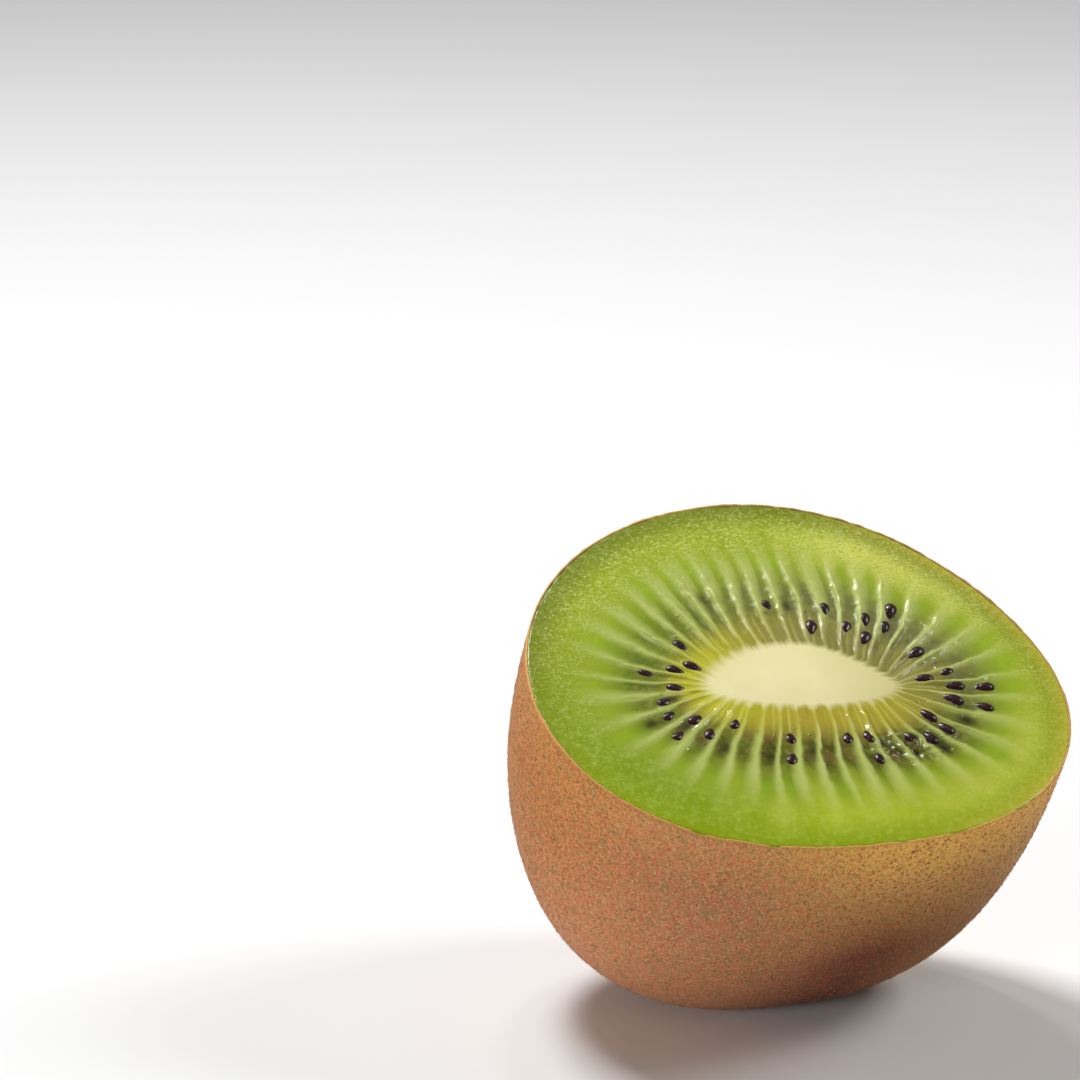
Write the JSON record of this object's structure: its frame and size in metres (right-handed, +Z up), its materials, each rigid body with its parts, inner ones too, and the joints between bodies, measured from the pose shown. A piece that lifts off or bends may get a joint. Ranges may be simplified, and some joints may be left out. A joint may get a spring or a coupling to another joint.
{
  "type": "halved kiwi fruit",
  "caption": "Half of a green kiwi fruit, cut across the middle, resting on its rounded hairy skin with the wet cut face, pale core and dark seeds leaning to the front.",
  "frame": {"origin": "on the table, under the middle of the part's bounding box", "axes": "+Z up, +X along the wide way of the fruit's oval section, -Y the front that the cut face leans towards"},
  "size_m": [0.0538, 0.0498, 0.0463],
  "materials": {
    "outer_flesh": "moist yellow-green fruit flesh, with the brown skin on its outside",
    "inner_flesh": "wet translucent green flesh with pale rays and sunken seed chambers",
    "core": "dense pale cream flesh, moist with a soft sheen",
    "seeds": "smooth wet near-black seeds",
    "skin": "thin dry matt brown skin with fine specks",
    "skin_hairs": "short stiff golden-brown hairs"
  },
  "bodies": {
    "root": {"outer_flesh": "outer_flesh", "inner_flesh": "inner_flesh", "core": "core"}
  },
  "joints": []
}
